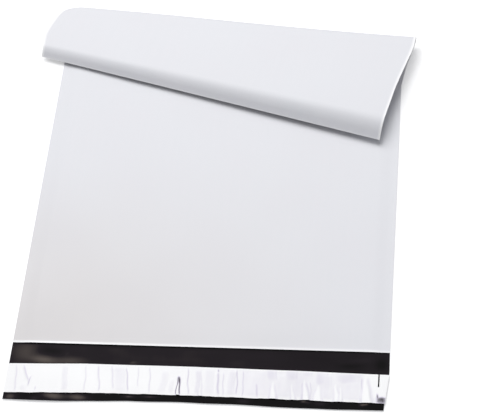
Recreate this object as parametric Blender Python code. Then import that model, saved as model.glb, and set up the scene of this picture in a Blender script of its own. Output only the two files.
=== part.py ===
"""Poly mailer: a flat film bag lying on its back wall, with its closed end rolled up and over the front wall.

The bag is drawn in its flat pattern. There x runs across the bag from the centreline, and s runs along it
from the mouth to the closed end, with the flap at negative s. surface() carries a point of the pattern into
space: the bag stays flat on the floor up to the roll, and the roll is made of circular cones that share one
apex beside the bag, so that every fold line is straight and the roll is wider at the right side than at the left.
"""
import math

import bpy
from mathutils import Matrix, Vector

# The flat bag, in metres.
BAG_WIDTH = 0.368
POCKET_LENGTH = 0.483
FLAP_LENGTH = 0.057
FLAP_TAPER = 0.004
WALL = 0.0003
POCKET_GAP = 0.0004
SIDE_WELD = 0.005
WELD_RAMP = 0.003
END_WELD = 0.002

# The adhesive line and the release liner over it.
LINER_MARGIN = 0.0072
LINER_WIDTH = 0.0295
LINER_THICKNESS = 0.0003
LINER_SIDE_CLEARANCE = 0.0006
ADHESIVE_WIDTH = 0.020
ADHESIVE_THICKNESS = 0.0003
ADHESIVE_SIDE_CLEARANCE = 0.003
SLIT_WIDTH = 0.0008
SLIT_LENGTH = 0.014
SLIT_INSET = 0.0105
REST_GAP = 0.0003

# The roll: each bend is a cone's half angle and the angle turned around its axis, both in degrees. With a half
# angle of 90 the film stays flat, as in the strip along the closed end.
APEX_OFFSET = 0.7153
RISE = (19.25, 8.56)
FOLD = (0.401, 169.09)
RETURN = (68.57, 6.34)
END_CURL = (1.719, 40.11)
END_STRIP = (90.0, 0.46)
BEND_STEPS = (3, 20, 4, 7, 1)

# The closed end is a little wider than the mouth and sits a little to the right.
END_SPREAD = 0.06
SPREAD_SHARE = 0.4
END_SHIFT = 0.0061

# Edges sharper than this, in degrees, are shaded as edges.
SHARP_ANGLE = 40

HALF_WIDTH = BAG_WIDTH / 2
ROLL = (RISE, FOLD, RETURN, END_CURL, END_STRIP)
APEX = Vector((-APEX_OFFSET, POCKET_LENGTH, 0.0))
BENDS = [(math.radians(half_angle), math.radians(turn)) for half_angle, turn in ROLL]
BEND_TRAVELS = [math.sin(half_angle) * turn for half_angle, turn in BENDS]
ROLL_ANGLE = sum(BEND_TRAVELS)
LINER_END = FLAP_LENGTH - LINER_MARGIN
LINER_START = LINER_END - LINER_WIDTH
ADHESIVE_START = LINER_START + (LINER_WIDTH - ADHESIVE_WIDTH) / 2
ADHESIVE_HEIGHT = WALL + REST_GAP
LINER_HEIGHT = ADHESIVE_HEIGHT + ADHESIVE_THICKNESS + REST_GAP


def generator(travel):
    """Direction of the fold line at this angle past the start of the roll, and the surface normal along it."""
    along = Vector((math.cos(ROLL_ANGLE), -math.sin(ROLL_ANGLE), 0.0))
    normal = Vector((0.0, 0.0, 1.0))
    remaining = travel
    for (half_angle, _turn), bend_travel in zip(BENDS, BEND_TRAVELS):
        step = min(remaining, bend_travel)
        axis = along * math.cos(half_angle) + normal * math.sin(half_angle)
        rotation = Matrix.Rotation(step / math.sin(half_angle), 3, axis)
        along = rotation @ along
        normal = rotation @ normal
        remaining -= step
    return along, normal


def surface(x, s, height):
    """Point in space of the pattern point (x, s), lifted by height off the back wall's outer face."""
    angle = math.atan2(POCKET_LENGTH - s, x + APEX_OFFSET)
    if angle >= ROLL_ANGLE:
        return Vector((x, s, height))
    travel = ROLL_ANGLE - angle
    share = travel / ROLL_ANGLE
    spread_x = x * (1 + END_SPREAD * min(1.0, share / SPREAD_SHARE)) + END_SHIFT * share
    along, normal = generator(travel)
    return APEX + along * ((spread_x + APEX_OFFSET) / math.cos(angle)) + normal * height


def roll_rows():
    """Rows of the pattern that follow the fold lines of the roll, each as a function of x that gives s."""
    travel = 0.0
    angles = [ROLL_ANGLE]
    for bend_travel, steps in zip(BEND_TRAVELS, BEND_STEPS):
        angles += [ROLL_ANGLE - travel - bend_travel * step / steps for step in range(1, steps + 1)]
        travel += bend_travel
    return [lambda x, slope=math.tan(angle): POCKET_LENGTH - (x + APEX_OFFSET) * slope for angle in angles[:-1]]


def straight_row(s):
    """Row of the pattern that crosses the bag at one s."""
    return lambda x: s


def film_columns():
    """Values of x where the film's section changes: the side edges, the welds and where the walls have parted."""
    weld = HALF_WIDTH - SIDE_WELD
    parted = weld - WELD_RAMP
    return [-HALF_WIDTH, -weld, -parted, parted, weld, HALF_WIDTH]


def film_mesh():
    """Vertices and faces of the bag: the back wall with its flap, the front wall, and the welds that join them."""
    columns = film_columns()
    rows = [straight_row(-FLAP_LENGTH), straight_row(0.0), *roll_rows()]
    rows += [straight_row(POCKET_LENGTH - END_WELD), straight_row(POCKET_LENGTH)]
    mouth = 1
    weld_row = len(rows) - 2
    last_row = len(rows) - 1
    last_column = len(columns) - 1
    cavity = range(1, last_column - 1)
    under, inside, ceiling, outside = range(4)

    def gap(column):
        return POCKET_GAP if 1 < column < last_column - 1 else 0.0

    vertices = []
    index = {}
    for r, row in enumerate(rows):
        for c, x in enumerate(columns):
            at_x = x - FLAP_TAPER if r == 0 and c == last_column else x
            s = row(at_x)
            heights = {under: 0.0, inside: WALL}
            if r >= mouth:
                heights[outside] = 2 * WALL + gap(c)
            if mouth <= r <= weld_row and gap(c) > 0:
                heights[ceiling] = WALL + gap(c)
            for layer, height in heights.items():
                index[layer, c, r] = len(vertices)
                vertices.append(surface(at_x, s, height))
            index.setdefault((ceiling, c, r), index[inside, c, r])

    faces = []

    def add(*corners):
        face = []
        for corner in corners:
            if index[corner] not in face:
                face.append(index[corner])
        faces.append(face)

    def add_level(layer, c, r, upward):
        ring = [(layer, c, r), (layer, c + 1, r), (layer, c + 1, r + 1), (layer, c, r + 1)]
        add(*(ring if upward else reversed(ring)))

    def add_across(low, high, c, r, toward_mouth):
        ring = [(low, c, r), (low, c + 1, r), (high, c + 1, r), (high, c, r)]
        add(*(ring if toward_mouth else reversed(ring)))

    def add_side(low, high, c, r, leftward):
        ring = [(low, c, r), (high, c, r), (high, c, r + 1), (low, c, r + 1)]
        add(*(ring if leftward else reversed(ring)))

    for r in range(last_row):
        for c in range(last_column):
            add_level(under, c, r, False)
            if r < mouth or (c in cavity and r < weld_row):
                add_level(inside, c, r, True)
            if r >= mouth:
                add_level(outside, c, r, True)
                if c in cavity and r < weld_row:
                    add_level(ceiling, c, r, False)
        for c, leftward in ((0, True), (last_column, False)):
            add_side(under, inside, c, r, leftward)
            if r >= mouth:
                add_side(inside, outside, c, r, leftward)
    for c in range(last_column):
        add_across(under, inside, c, 0, True)
        add_across(ceiling, outside, c, mouth, True)
        add_across(under, inside, c, last_row, False)
        add_across(inside, outside, c, last_row, False)
        if c in cavity:
            add_across(inside, ceiling, c, weld_row, True)
    return vertices, faces


def plate_mesh(outline, bottom, thickness):
    """Vertices and faces of a flat plate whose outline runs counter-clockwise seen from above."""
    count = len(outline)
    vertices = [Vector((x, y, bottom)) for x, y in outline]
    vertices += [Vector((x, y, bottom + thickness)) for x, y in outline]
    faces = [list(reversed(range(count))), list(range(count, 2 * count))]
    for i in range(count):
        j = (i + 1) % count
        faces.append([i, j, count + j, count + i])
    return vertices, faces


def flap_edge(s):
    """x of the flap's right edge, which runs in toward the flap's end."""
    return HALF_WIDTH + FLAP_TAPER * s / FLAP_LENGTH


def liner_outline():
    """Outline of the release liner, with the slit near its right end."""
    left = -HALF_WIDTH + LINER_SIDE_CLEARANCE
    slit = HALF_WIDTH - SLIT_INSET
    slit_left = slit - SLIT_WIDTH / 2
    slit_right = slit + SLIT_WIDTH / 2
    near = -LINER_START
    far = -LINER_END
    slit_end = near - SLIT_LENGTH
    return [
        (left, far),
        (flap_edge(far) - LINER_SIDE_CLEARANCE, far),
        (flap_edge(near) - LINER_SIDE_CLEARANCE, near),
        (slit_right, near),
        (slit_right, slit_end),
        (slit_left, slit_end),
        (slit_left, near),
        (left, near),
    ]


def adhesive_outline():
    """Outline of the adhesive line, which lies under the middle of the liner."""
    near = -ADHESIVE_START
    far = near - ADHESIVE_WIDTH
    left = -HALF_WIDTH + ADHESIVE_SIDE_CLEARANCE
    right = flap_edge(far) - ADHESIVE_SIDE_CLEARANCE
    return [(left, far), (right, far), (right, near), (left, near)]


def material(name, colour, roughness):
    """Plain Principled BSDF material."""
    result = bpy.data.materials.new(name)
    result.use_nodes = True
    shader = result.node_tree.nodes["Principled BSDF"]
    shader.inputs["Base Color"].default_value = (*colour, 1.0)
    shader.inputs["Roughness"].default_value = roughness
    return result


def add_object(name, mesh_data, finish):
    """Adds one named sub-part with its own material, smooth over its gentle bends."""
    vertices, faces = mesh_data
    mesh = bpy.data.meshes.new(name)
    mesh.from_pydata([tuple(vertex) for vertex in vertices], [], faces)
    mesh.update()
    mesh.shade_smooth()
    mesh.set_sharp_from_angle(angle=math.radians(SHARP_ANGLE))
    mesh.materials.append(finish)
    part = bpy.data.objects.new(name, mesh)
    bpy.context.scene.collection.objects.link(part)
    return part


def build():
    """Builds the mailer: the film bag, the adhesive line and the release liner."""
    for old in list(bpy.data.objects):
        bpy.data.objects.remove(old, do_unlink=True)
    add_object("mailer_film", film_mesh(), material("white_film", (0.86, 0.86, 0.89), 0.35))
    adhesive = plate_mesh(adhesive_outline(), ADHESIVE_HEIGHT, ADHESIVE_THICKNESS)
    add_object("adhesive_line", adhesive, material("hot_melt_adhesive", (0.55, 0.48, 0.33), 0.25))
    liner = plate_mesh(liner_outline(), LINER_HEIGHT, LINER_THICKNESS)
    add_object("release_liner", liner, material("liner_paper", (0.93, 0.93, 0.96), 0.3))


build()
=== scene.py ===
"""Looks of the poly mailer: white film bag with a black inner face, its adhesive line and its release liner.

Each piece is drawn in the bag's flat pattern, where x runs across the bag and s runs from the mouth to the
closed end, with the flap at negative s. The roll at the closed end is a Geometry Nodes tree that carries the
flat film round four cones that share one apex, with a flat strip after them.
"""
from __future__ import annotations

import logging
import math
from collections.abc import Sequence
from dataclasses import dataclass
from enum import Enum

import bpy
import numpy as np
from mathutils import Matrix, Vector, noise

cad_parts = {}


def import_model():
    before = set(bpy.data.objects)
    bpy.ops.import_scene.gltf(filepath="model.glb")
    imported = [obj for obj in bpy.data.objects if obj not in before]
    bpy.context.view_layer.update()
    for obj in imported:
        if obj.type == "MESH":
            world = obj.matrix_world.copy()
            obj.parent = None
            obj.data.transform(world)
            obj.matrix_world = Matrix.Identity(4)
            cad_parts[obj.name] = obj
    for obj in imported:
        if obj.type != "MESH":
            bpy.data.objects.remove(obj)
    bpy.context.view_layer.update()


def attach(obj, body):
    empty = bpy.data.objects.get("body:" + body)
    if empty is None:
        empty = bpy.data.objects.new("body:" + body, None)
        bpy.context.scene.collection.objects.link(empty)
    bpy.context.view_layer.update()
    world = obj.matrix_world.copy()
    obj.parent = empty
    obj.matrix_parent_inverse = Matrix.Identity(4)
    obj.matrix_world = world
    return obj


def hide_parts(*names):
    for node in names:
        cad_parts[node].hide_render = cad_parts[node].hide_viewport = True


LOG = logging.getLogger("mailer")
Colour = tuple[float, float, float]
Grid = np.ndarray
Socket = bpy.types.NodeSocket
PATTERN_MAP = "pattern"


def linear(*levels: float) -> Colour:
    """Linear colour of an sRGB colour given in 0 to 255."""
    shares = [level / 255 for level in levels]
    return tuple(share / 12.92 if share <= 0.04045 else ((share + 0.055) / 1.055) ** 2.4 for share in shares)


def smooth(value: Grid | float) -> Grid | float:
    """Smooth step from 0 to 1, for value from 0 to 1."""
    held = np.clip(value, 0.0, 1.0)
    return held * held * (3 - 2 * held)


def waves(x: Grid, s: Grid, scale: float, seed: float) -> Grid:
    """Smooth noise over the pattern.

    Args:
        x: Places across the bag, in metres.
        s: Places along the bag, in metres.
        scale: Length of one wave, in metres.
        seed: Which noise it is.

    Returns:
        Values from about -1 to 1, in the shape of x.
    """
    flat = [noise.noise(Vector((a / scale, b / scale, seed))) for a, b in zip(x.ravel(), s.ravel())]
    return np.array(flat).reshape(x.shape)


class NodeKit:
    """Short ways to place and link nodes in one tree."""

    def __init__(self, tree: bpy.types.NodeTree) -> None:
        """Keeps the tree."""
        self.tree = tree

    def add(
        self, kind: str, inputs: dict[int | str, object] | None = None, **settings: object
    ) -> bpy.types.Node:
        """Places a node.

        Args:
            kind: The node's type.
            inputs: Sockets and values for its inputs, by place or by name.
            **settings: The node's properties.

        Returns:
            The node.
        """
        node = self.tree.nodes.new(kind)
        for name, value in settings.items():
            setattr(node, name, value)
        for key, value in (inputs or {}).items():
            self.feed(node.inputs[key], value)
        return node

    def declare(self, in_out: str, kind: str, *names: str) -> None:
        """Gives the tree named inputs or outputs of one kind."""
        for name in names:
            self.tree.interface.new_socket(name=name, in_out=in_out, socket_type=f"NodeSocket{kind}")

    def feed(self, socket: Socket, value: object) -> None:
        """Links a socket, or sets its value.

        Args:
            socket: An input.
            value: A socket to link, or a plain value.
        """
        if isinstance(value, Socket):
            self.tree.links.new(value, socket)
        else:
            socket.default_value = value

    def math(self, operation: str, *values: object) -> Socket:
        """Result of a Math node."""
        return self.add("ShaderNodeMath", dict(enumerate(values)), operation=operation).outputs[0]

    def scaled(self, vector: object, factor: object) -> Socket:
        """A vector times a number."""
        return self.add("ShaderNodeVectorMath", {0: vector, "Scale": factor}, operation="SCALE").outputs[0]

    def summed(self, first: object, second: object) -> Socket:
        """Sum of two vectors."""
        return self.add("ShaderNodeVectorMath", {0: first, 1: second}, operation="ADD").outputs[0]

    def vector(self, x: object, y: object, z: object) -> Socket:
        """A vector of three numbers."""
        return self.add("ShaderNodeCombineXYZ", {0: x, 1: y, 2: z}).outputs[0]

    def turned(self, vector: object, axis: object, angle: object) -> Socket:
        """A vector turned round an axis through the origin."""
        inputs = {"Vector": vector, "Axis": axis, "Angle": angle}
        return self.add("ShaderNodeVectorRotate", inputs, rotation_type="AXIS_ANGLE").outputs[0]

    def mix(self, share: object, first: object, second: object) -> Socket:
        """Colour between first and second."""
        return self.add("ShaderNodeMix", {0: share, 6: first, 7: second}, data_type="RGBA").outputs[2]

    def ranged(self, value: object, low: float, high: float, start: float, end: float) -> Socket:
        """Value from low to high, carried to start to end."""
        return self.add("ShaderNodeMapRange", dict(enumerate((value, low, high, start, end)))).outputs[0]


@dataclass(frozen=True)
class Bend:
    """One circular cone of the roll: its half angle and the angle turned round its axis, in degrees."""

    name: str
    half_angle: float
    turn: float

    @property
    def travel(self) -> float:
        """Angle of flat film that the bend takes up, in radians."""
        return math.sin(math.radians(self.half_angle)) * math.radians(self.turn)


@dataclass(frozen=True)
class RollForm:
    """The roll at the closed end, as cones that share one apex left of the bag."""

    pocket_length: float = 0.483
    apex_offset: float = 0.7153
    end_spread: float = 0.06
    spread_share: float = 0.4
    end_shift: float = 0.0061
    crest_share: float = 0.67
    bends: tuple[Bend, ...] = (
        Bend("Rise", 19.25, 8.56),
        Bend("Fold", 0.401, 169.09),
        Bend("Return", 68.57, 6.34),
        Bend("End Curl", 1.719, 40.11),
        Bend("End Strip", 90.0, 0.46),
    )

    @property
    def angle(self) -> float:
        """Angle of flat film in the whole roll, in radians."""
        return sum(bend.travel for bend in self.bends)

    @property
    def sizes(self) -> dict[str, float]:
        """The roll's sizes.

        Returns:
            Each size, by the name of the tree's input for it.
        """
        sizes = {
            "Pocket Length": self.pocket_length,
            "Apex Offset": self.apex_offset,
            "End Spread": self.end_spread,
            "Spread Share": self.spread_share,
            "End Shift": self.end_shift,
        }
        for bend in self.bends:
            sizes[f"{bend.name} Half Angle"] = bend.half_angle
            sizes[f"{bend.name} Turn"] = bend.turn
        return sizes

    def start(self, x: Grid) -> Grid:
        """s at which the roll starts, for each x."""
        return self.pocket_length - (x + self.apex_offset) * math.tan(self.angle)

    def crest(self, x: Grid) -> Grid:
        """Where the roll's crest lies, part of the way round the fold.

        Args:
            x: Places across the bag.

        Returns:
            s of the crest, for each x.
        """
        rise, fold = self.bends[:2]
        angle = self.angle - rise.travel - self.crest_share * fold.travel
        return self.pocket_length - (x + self.apex_offset) * math.tan(angle)

    def fold_lines(self, steps: Sequence[int]) -> list[float]:
        """Angles of the fold lines after the roll's start.

        Args:
            steps: How many lines each bend gets.

        Returns:
            Angles at the apex, falling from the roll's start to the closed end, in radians.
        """
        angles = []
        left = self.angle
        for bend, count in zip(self.bends, steps):
            angles += [left - bend.travel * step / count for step in range(1, count + 1)]
            left -= bend.travel
        return angles[:-1]

    def tree(self) -> bpy.types.NodeTree:
        """Makes the Geometry Nodes tree that carries a flat pattern round the roll.

        Returns:
            The tree, which also sets the materials of the film's two faces.
        """
        tree = bpy.data.node_groups.new("roll_form", "GeometryNodeTree")
        kit = NodeKit(tree)
        kit.declare("INPUT", "Geometry", "Geometry")
        kit.declare("OUTPUT", "Geometry", "Geometry")
        kit.declare("INPUT", "Float", *self.sizes)
        kit.declare("INPUT", "Material", "Outer Material", "Inner Material")
        given = kit.add("NodeGroupInput").outputs

        half_angles = [kit.math("RADIANS", given[f"{bend.name} Half Angle"]) for bend in self.bends]
        turns = [kit.math("RADIANS", given[f"{bend.name} Turn"]) for bend in self.bends]
        sines = [kit.math("SINE", half) for half in half_angles]
        travels = [kit.math("MULTIPLY", sine, turn) for sine, turn in zip(sines, turns)]
        total = travels[0]
        for travel in travels[1:]:
            total = kit.math("ADD", total, travel)

        place = kit.add("GeometryNodeInputPosition").outputs[0]
        x, s, height = kit.add("ShaderNodeSeparateXYZ", {0: place}).outputs
        from_end = kit.math("SUBTRACT", given["Pocket Length"], s)
        angle = kit.math("ARCTAN2", from_end, kit.math("ADD", x, given["Apex Offset"]))
        travel = kit.math("MAXIMUM", kit.math("SUBTRACT", total, angle), 0.0)
        share = kit.math("DIVIDE", travel, total)
        widened = kit.math("MINIMUM", kit.math("DIVIDE", share, given["Spread Share"]), 1.0)
        spread = kit.math("ADD", kit.math("MULTIPLY", widened, given["End Spread"]), 1.0)
        shift = kit.math("MULTIPLY", given["End Shift"], share)
        across = kit.math("ADD", kit.math("MULTIPLY", x, spread), shift)
        reach = kit.math("DIVIDE", kit.math("ADD", across, given["Apex Offset"]), kit.math("COSINE", angle))

        sideways = kit.math("MULTIPLY", kit.math("SINE", total), -1.0)
        along = kit.vector(kit.math("COSINE", total), sideways, 0.0)
        normal = kit.vector(0.0, 0.0, 1.0)
        left = travel
        for half, sine, bend_travel in zip(half_angles, sines, travels):
            step = kit.math("MINIMUM", left, bend_travel)
            axis = kit.summed(kit.scaled(along, kit.math("COSINE", half)), kit.scaled(normal, sine))
            turn = kit.math("DIVIDE", step, sine)
            along, normal = kit.turned(along, axis, turn), kit.turned(normal, axis, turn)
            left = kit.math("SUBTRACT", left, step)
        apex = kit.vector(kit.math("MULTIPLY", given["Apex Offset"], -1.0), given["Pocket Length"], 0.0)
        rolled = kit.summed(apex, kit.summed(kit.scaled(along, reach), kit.scaled(normal, height)))

        bent = kit.math("GREATER_THAN", travel, 0.0)
        choice = {"Switch": bent, "False": place, "True": rolled}
        chosen = kit.add("GeometryNodeSwitch", choice, input_type="VECTOR")
        carried = kit.add("GeometryNodeSetPosition", {0: given["Geometry"], "Position": chosen.outputs[0]})
        realized = kit.add("GeometryNodeRealizeInstances", {0: carried.outputs[0]})
        outer = kit.add("GeometryNodeSetMaterial", {
            0: realized.outputs[0],
            "Material": given["Outer Material"],
        })
        is_inner = kit.add("GeometryNodeInputNamedAttribute", {"Name": "inner"}, data_type="BOOLEAN")
        inner = kit.add("GeometryNodeSetMaterial", {
            0: outer.outputs[0],
            "Selection": is_inner.outputs["Attribute"],
            "Material": given["Inner Material"],
        })
        kit.add("NodeGroupOutput", {0: inner.outputs[0]})
        return tree

    def carry(self, flat: bpy.types.Object, outer: bpy.types.Material, inner: bpy.types.Material) -> None:
        """Carries a flat piece round the roll and leaves it a plain mesh.

        Args:
            flat: Piece whose mesh holds the flat pattern.
            outer: Material of the film's outer face.
            inner: Material of the film's inner face.
        """
        tree = self.tree()
        values = {**self.sizes, "Outer Material": outer, "Inner Material": inner}
        modifier = flat.modifiers.new("roll", "NODES")
        modifier.node_group = tree
        for socket in tree.interface.items_tree:
            if socket.item_type == "SOCKET" and socket.in_out == "INPUT" and socket.name in values:
                modifier[socket.identifier] = values[socket.name]
        bpy.context.view_layer.update()
        made = bpy.data.meshes.new_from_object(flat.evaluated_get(bpy.context.evaluated_depsgraph_get()))
        flat.modifiers.clear()
        flat.data = made


def add_object(name: str, data: bpy.types.ID) -> bpy.types.Object:
    """Adds an object to the scene.

    Args:
        name: The object's name.
        data: Its mesh, lamp or camera.

    Returns:
        The object.
    """
    made = bpy.data.objects.new(name, data)
    bpy.context.scene.collection.objects.link(made)
    return made


class PatternMesh:
    """Collects a mesh in the flat pattern, with its map and its masks."""

    def __init__(self, masks: Sequence[str]) -> None:
        """Starts empty.

        Args:
            masks: Names of the masks that each point carries.
        """
        self.points: list[Grid] = []
        self.masks: dict[str, list[Grid]] = {name: [] for name in masks}
        self.faces: list[list[int]] = []
        self.inner: list[bool] = []
        self.count = 0

    def add_points(self, x: Grid, s: Grid, height: Grid, **masks: Grid) -> Grid:
        """Adds a grid of points.

        Args:
            x: Places across the bag.
            s: Places along the bag.
            height: Heights over the back wall's outer face.
            **masks: Values of the masks. A mask that isn't given is 0.

        Returns:
            The points' numbers, in the shape of x.
        """
        self.points.append(np.stack([x.ravel(), s.ravel(), height.ravel()], axis=-1))
        for name, values in self.masks.items():
            values.append(np.broadcast_to(masks.get(name, 0.0), x.shape).ravel())
        numbers = np.arange(self.count, self.count + x.size).reshape(x.shape)
        self.count += x.size
        return numbers

    def add_face(self, corners: Sequence[int], inner: bool = False) -> None:
        """Adds a face, without the corners that come twice.

        Args:
            corners: Numbers of the points round the face.
            inner: Whether it is the film's inner face.
        """
        face = list(dict.fromkeys(int(corner) for corner in corners))
        if len(face) > 2:
            self.faces.append(face)
            self.inner.append(inner)

    def add_sheet(self, grid: Grid, upward: bool, inner: bool = False, cells: Grid | None = None) -> None:
        """Adds the faces of one sheet of points.

        Args:
            grid: The points' numbers, with rows that rise in s.
            upward: Whether the faces look up in the flat pattern.
            inner: Whether it is the film's inner face.
            cells: Which cells are filled. All are where it isn't given.
        """
        for r in range(grid.shape[0] - 1):
            for c in range(grid.shape[1] - 1):
                if cells is None or cells[r, c]:
                    ring = (grid[r, c], grid[r, c + 1], grid[r + 1, c + 1], grid[r + 1, c])
                    self.add_face(ring if upward else ring[::-1], inner)

    def add_strip(self, low: Grid, high: Grid) -> None:
        """Adds the faces between two lines of points.

        Args:
            low: Numbers of the points of one line.
            high: Numbers of the points of the other.
        """
        for i in range(len(low) - 1):
            self.add_face((low[i], low[i + 1], high[i + 1], high[i]))

    def add_slab(self, x: Grid, s: Grid, bottom: Grid, top: Grid, cells: Grid, **masks: Grid) -> None:
        """Adds a closed slab over the filled cells of a grid.

        Args:
            x: Places across the bag.
            s: Places along the bag, rising with the rows.
            bottom: Heights of the under side.
            top: Heights of the upper side.
            cells: Which cells are filled.
            **masks: Values of the masks.
        """
        low = self.add_points(x, s, bottom, **masks)
        high = self.add_points(x, s, top, **masks)
        self.add_sheet(low, upward=False, cells=cells)
        self.add_sheet(high, upward=True, cells=cells)
        filled = np.pad(cells, 1)
        corners = ((0, 0), (0, 1), (1, 1), (1, 0))
        beyond = ((-1, 0), (0, 1), (1, 0), (0, -1))
        for r, c in zip(*np.nonzero(cells)):
            for side, (dr, dc) in enumerate(beyond):
                if not filled[r + 1 + dr, c + 1 + dc]:
                    a = (r + corners[side][0], c + corners[side][1])
                    b = (r + corners[(side + 1) % 4][0], c + corners[(side + 1) % 4][1])
                    self.add_face((low[a], low[b], high[b], high[a]))

    def make(self, name: str) -> bpy.types.Object:
        """Makes the object, at the origin, with the pattern as its map.

        Args:
            name: The object's name.

        Returns:
            The object.
        """
        points = np.concatenate(self.points)
        mesh = bpy.data.meshes.new(name)
        mesh.from_pydata(points.tolist(), [], self.faces)
        mesh.update()
        for mask, values in self.masks.items():
            layer = mesh.attributes.new(mask, "FLOAT", "POINT")
            layer.data.foreach_set("value", np.concatenate(values).astype(np.float32))
        layer = mesh.attributes.new("inner", "BOOLEAN", "FACE")
        layer.data.foreach_set("value", self.inner)
        corners = np.empty(len(mesh.loops), dtype=np.int32)
        mesh.loops.foreach_get("vertex_index", corners)
        uv = mesh.uv_layers.new(name=PATTERN_MAP)
        uv.data.foreach_set("uv", points[corners, :2].astype(np.float32).ravel())
        return add_object(name, mesh)


def settle(piece: bpy.types.Object, sharp_angle: float = 38.0) -> None:
    """Shades a finished piece smooth, with its edges kept sharp."""
    piece.data.shade_smooth()
    piece.data.set_sharp_from_angle(angle=math.radians(sharp_angle))


@dataclass(frozen=True)
class CornerPull:
    """A soft pull on the rolled film near one of the roll's two ends."""

    side: float
    reach: float
    past_crest: float
    spans: tuple[float, float]
    pull: tuple[float, float, float]

    def moves(self, x: Grid, past_crest: Grid) -> Grid:
        """How far each point of the rolled film moves.

        Args:
            x: Places across the bag.
            past_crest: How far along the film each point lies past the roll's crest.

        Returns:
            A move in space for each point.
        """
        inward = np.clip(1 - np.abs(x - self.side) / self.reach, 0.0, 1.0)
        off = past_crest - self.past_crest
        near = smooth(1 - np.abs(off) / np.where(off < 0, self.spans[0], self.spans[1]))
        return (inward**2 * near)[:, None] * np.array(self.pull)


@dataclass(frozen=True)
class FlapLay:
    """How the flap's film lies: it lifts a little off the floor toward its free edge."""

    length: float = 0.057
    half_width: float = 0.184
    lift: float = 0.0009
    hump_middle: float = -0.150
    hump_width: float = 0.032
    hump_share: float = 0.9
    ripple_length: float = 0.052
    edge_wobble: float = 0.0006
    edge_wave_length: float = 0.028
    run_in_width: float = 0.007
    column_marks: tuple[float, ...] = (-0.184, -0.15, -0.11, -0.06, 0.0, 0.04, 0.10, 0.14, 0.184)
    row_marks: tuple[float, ...] = (-0.057, -0.0498, -0.0203, 0.0)
    side_run_in: tuple[float, ...] = (0.0035, 0.0030, -0.0004, 0.0)
    edge_reach: tuple[tuple[float, ...], ...] = (
        (0.0022, 0.0024, 0.0017, -0.0006, -0.0009, -0.0006, 0.0009, 0.0010, 0.0002),
        (0.0024, 0.0019, 0.0003, -0.0002, -0.0005, -0.0001, 0.0, 0.0006, 0.0009),
        (0.0022, 0.0016, 0.0003, 0.0001, 0.0, 0.0004, 0.0009, 0.0016, 0.0021),
        (0.0,) * 9,
    )

    def height(self, x: Grid, s: Grid) -> Grid:
        """Height of the flap's under side over the floor.

        Args:
            x: Places across the bag.
            s: Places along the bag.

        Returns:
            A height for each point, in metres.
        """
        out = smooth(-s / self.length)
        broad = 0.5 + 0.5 * waves(x, s * 1.6, self.ripple_length, 3.1)
        left = np.exp(-(((x - self.hump_middle) / self.hump_width) ** 2))
        return self.lift * out * (broad + self.hump_share * left)

    def carry(self, x: Grid, s: Grid) -> Grid:
        """x of a point of the flap, whose right edge runs in toward the flap's end."""
        run_in = np.interp(s, self.row_marks, self.side_run_in)
        return x - run_in * smooth((x - self.half_width + self.run_in_width) / self.run_in_width)

    def reach(self, x: Grid, s: Grid) -> Grid:
        """How much farther from the mouth a point of the flap lies than in a flap cut straight.

        Args:
            x: Places across the bag.
            s: Places along the bag.

        Returns:
            A distance for each point, in metres.
        """
        near_row = np.eye(len(self.row_marks))
        return sum(
            np.interp(s, self.row_marks, near_row[i]) * np.interp(x, self.column_marks, reach)
            for i, reach in enumerate(self.edge_reach)
        )

    def wobble(self, x: Grid) -> Grid:
        """How far the free edge strays from a straight cut."""
        return self.edge_wobble * waves(x, np.zeros_like(x), self.edge_wave_length, 8.4)


@dataclass(frozen=True)
class SheenPatch:
    """A patch of painted sheen on the flap's black film, lighter and milky where its strength is positive and
    darker where it is negative.
    """

    x: float
    s: float
    radius_x: float
    radius_s: float
    strength: float
    slant: float = 0.0

    def mask(self, x: Grid, s: Grid) -> Grid:
        """Strength of the patch at each point.

        Args:
            x: Places across the bag.
            s: Places along the bag.

        Returns:
            A share for each point.
        """
        along = (x - self.x) / self.radius_x
        across = (s - self.s - self.slant * (x - self.x)) / self.radius_s
        return self.strength * np.exp(-(along**2 + across**2))


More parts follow.
